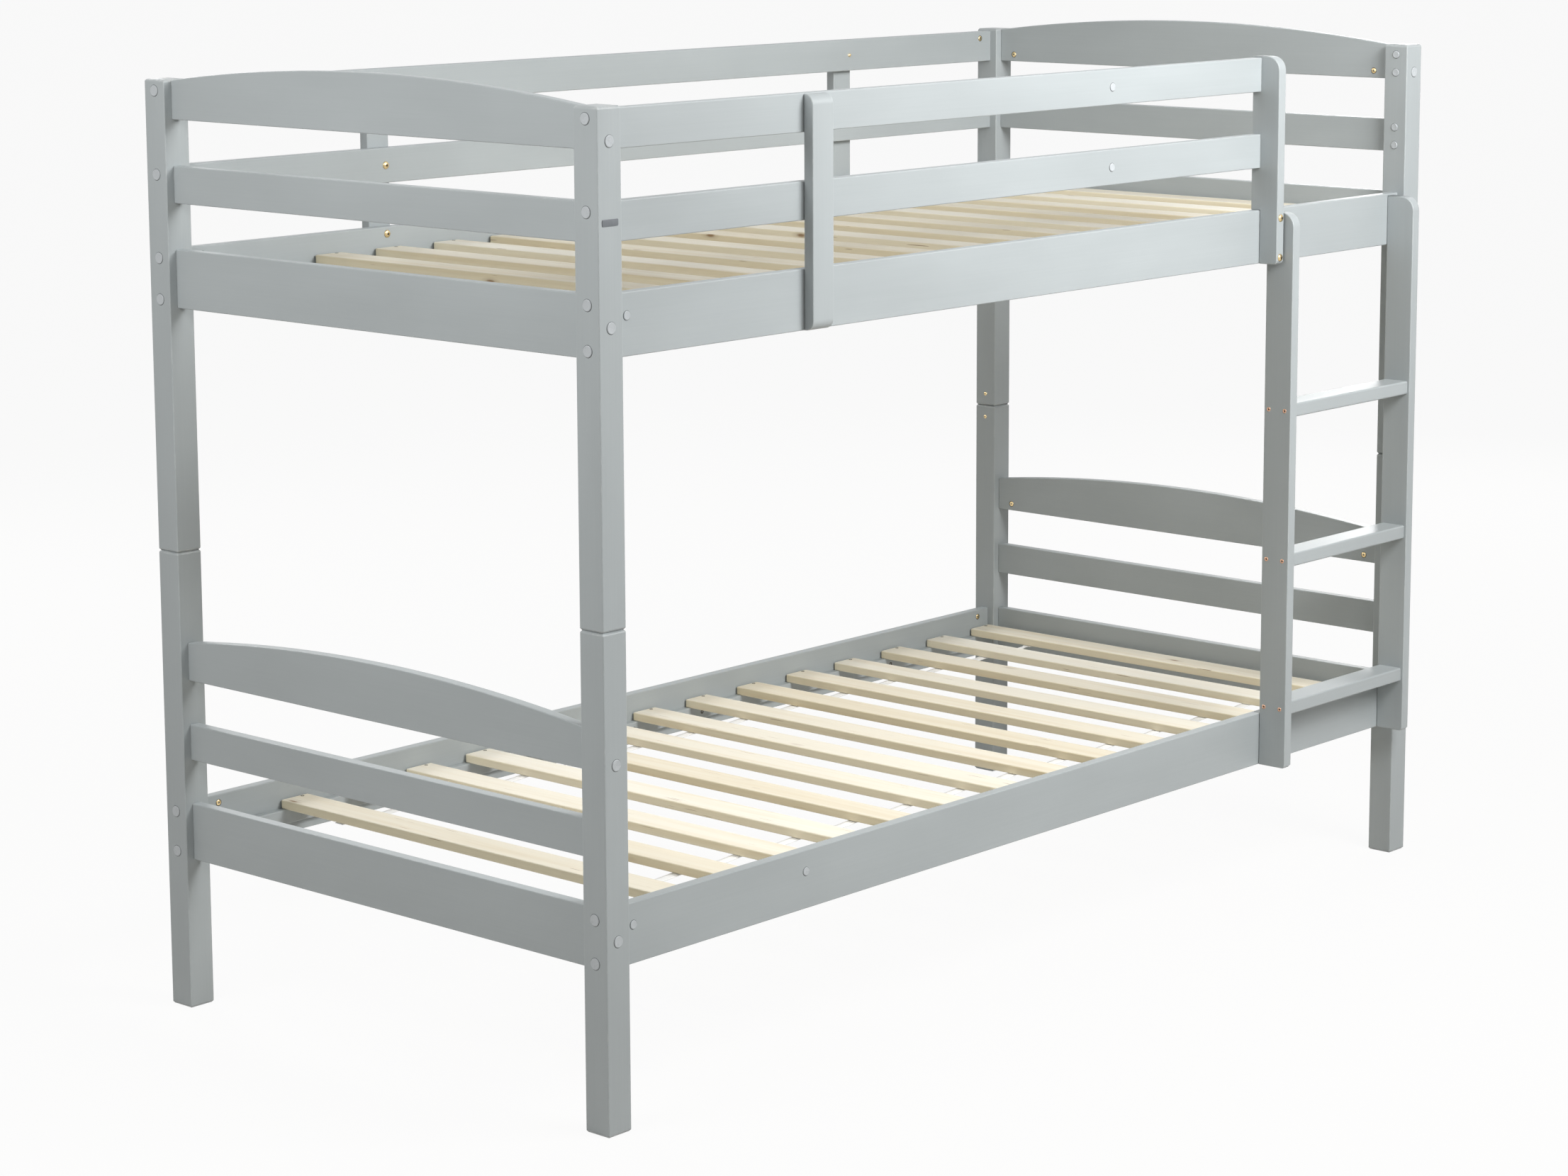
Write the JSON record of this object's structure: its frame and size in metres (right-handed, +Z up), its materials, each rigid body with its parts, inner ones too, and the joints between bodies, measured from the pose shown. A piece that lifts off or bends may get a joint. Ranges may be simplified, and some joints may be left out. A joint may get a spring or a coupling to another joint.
{
  "type": "bunk bed",
  "caption": "Grey painted pine bunk bed with pale slatted decks, guard rails and a front ladder; it lifts apart into single beds",
  "frame": {"origin": "on the floor, under the middle of the bounding box of the whole bed with its ladder", "axes": "+X along the bed with the ladder at the +X end, the ladder side faces -Y, +Z up"},
  "size_m": [2.1028, 1.0322, 1.5155],
  "materials": {
    "painted_wood": "grey satin paint on pine",
    "slat_wood": "planed bare pine",
    "dowel_wood": "bare beech",
    "tape": "white woven tape",
    "steel": "zinc plated",
    "brass": "brass plated steel",
    "cap_plastic": "light grey plastic",
    "plate": "dark anodised, plain"
  },
  "bodies": {
    "lower_bed": {"lower_post_front_left": "painted_wood", "lower_post_front_right": "painted_wood", "lower_post_back_left": "painted_wood", "lower_post_back_right": "painted_wood", "lower_left_deep_rail": "painted_wood", "lower_left_middle_rail": "painted_wood", "lower_left_arched_rail": "painted_wood", "lower_right_deep_rail": "painted_wood", "lower_right_middle_rail": "painted_wood", "lower_right_arched_rail": "painted_wood", "lower_front_side_rail": "painted_wood", "lower_front_ledger": "painted_wood", "lower_back_side_rail": "painted_wood", "lower_back_ledger": "painted_wood", "lower_slats": "slat_wood", "lower_slat_tapes": "tape", "lower_bolts": "steel", "lower_barrel_nuts": "steel", "lower_plastic_caps": "cap_plastic", "lower_dowels": "dowel_wood", "lower_pin_screws": "brass", "connecting_pins": "steel"},
    "upper_bed": {"upper_post_front_left": "painted_wood", "upper_post_front_right": "painted_wood", "upper_post_back_left": "painted_wood", "upper_post_back_right": "painted_wood", "upper_left_deep_rail": "painted_wood", "upper_left_middle_rail": "painted_wood", "upper_left_arched_rail": "painted_wood", "upper_right_deep_rail": "painted_wood", "upper_right_middle_rail": "painted_wood", "upper_right_arched_rail": "painted_wood", "upper_front_side_rail": "painted_wood", "upper_front_ledger": "painted_wood", "upper_back_side_rail": "painted_wood", "upper_back_ledger": "painted_wood", "upper_slats": "slat_wood", "upper_slat_tapes": "tape", "upper_bolts": "steel", "upper_barrel_nuts": "steel", "upper_plastic_caps": "cap_plastic", "upper_dowels": "dowel_wood", "upper_pin_screws": "brass", "front_guard_rail_lower": "painted_wood", "front_guard_rail_upper": "painted_wood", "back_guard_rail_lower": "painted_wood", "back_guard_rail_upper": "painted_wood", "front_guard_upright_middle": "painted_wood", "front_guard_upright_end": "painted_wood", "back_guard_upright_left": "painted_wood", "back_guard_upright_right": "painted_wood", "ladder_stile_left": "painted_wood", "ladder_stile_right": "painted_wood", "ladder_rung_top": "painted_wood", "ladder_rung_middle": "painted_wood", "ladder_rung_bottom": "painted_wood", "guard_bolts": "brass", "ladder_bolts": "brass", "blank_plate": "plate"}
  },
  "joints": [
    {"name": "upper_bed_lift", "type": "slide", "parent": "lower_bed", "child": "upper_bed", "axis": [0, 0, 1], "range_m": [0, 0.06]}
  ]
}
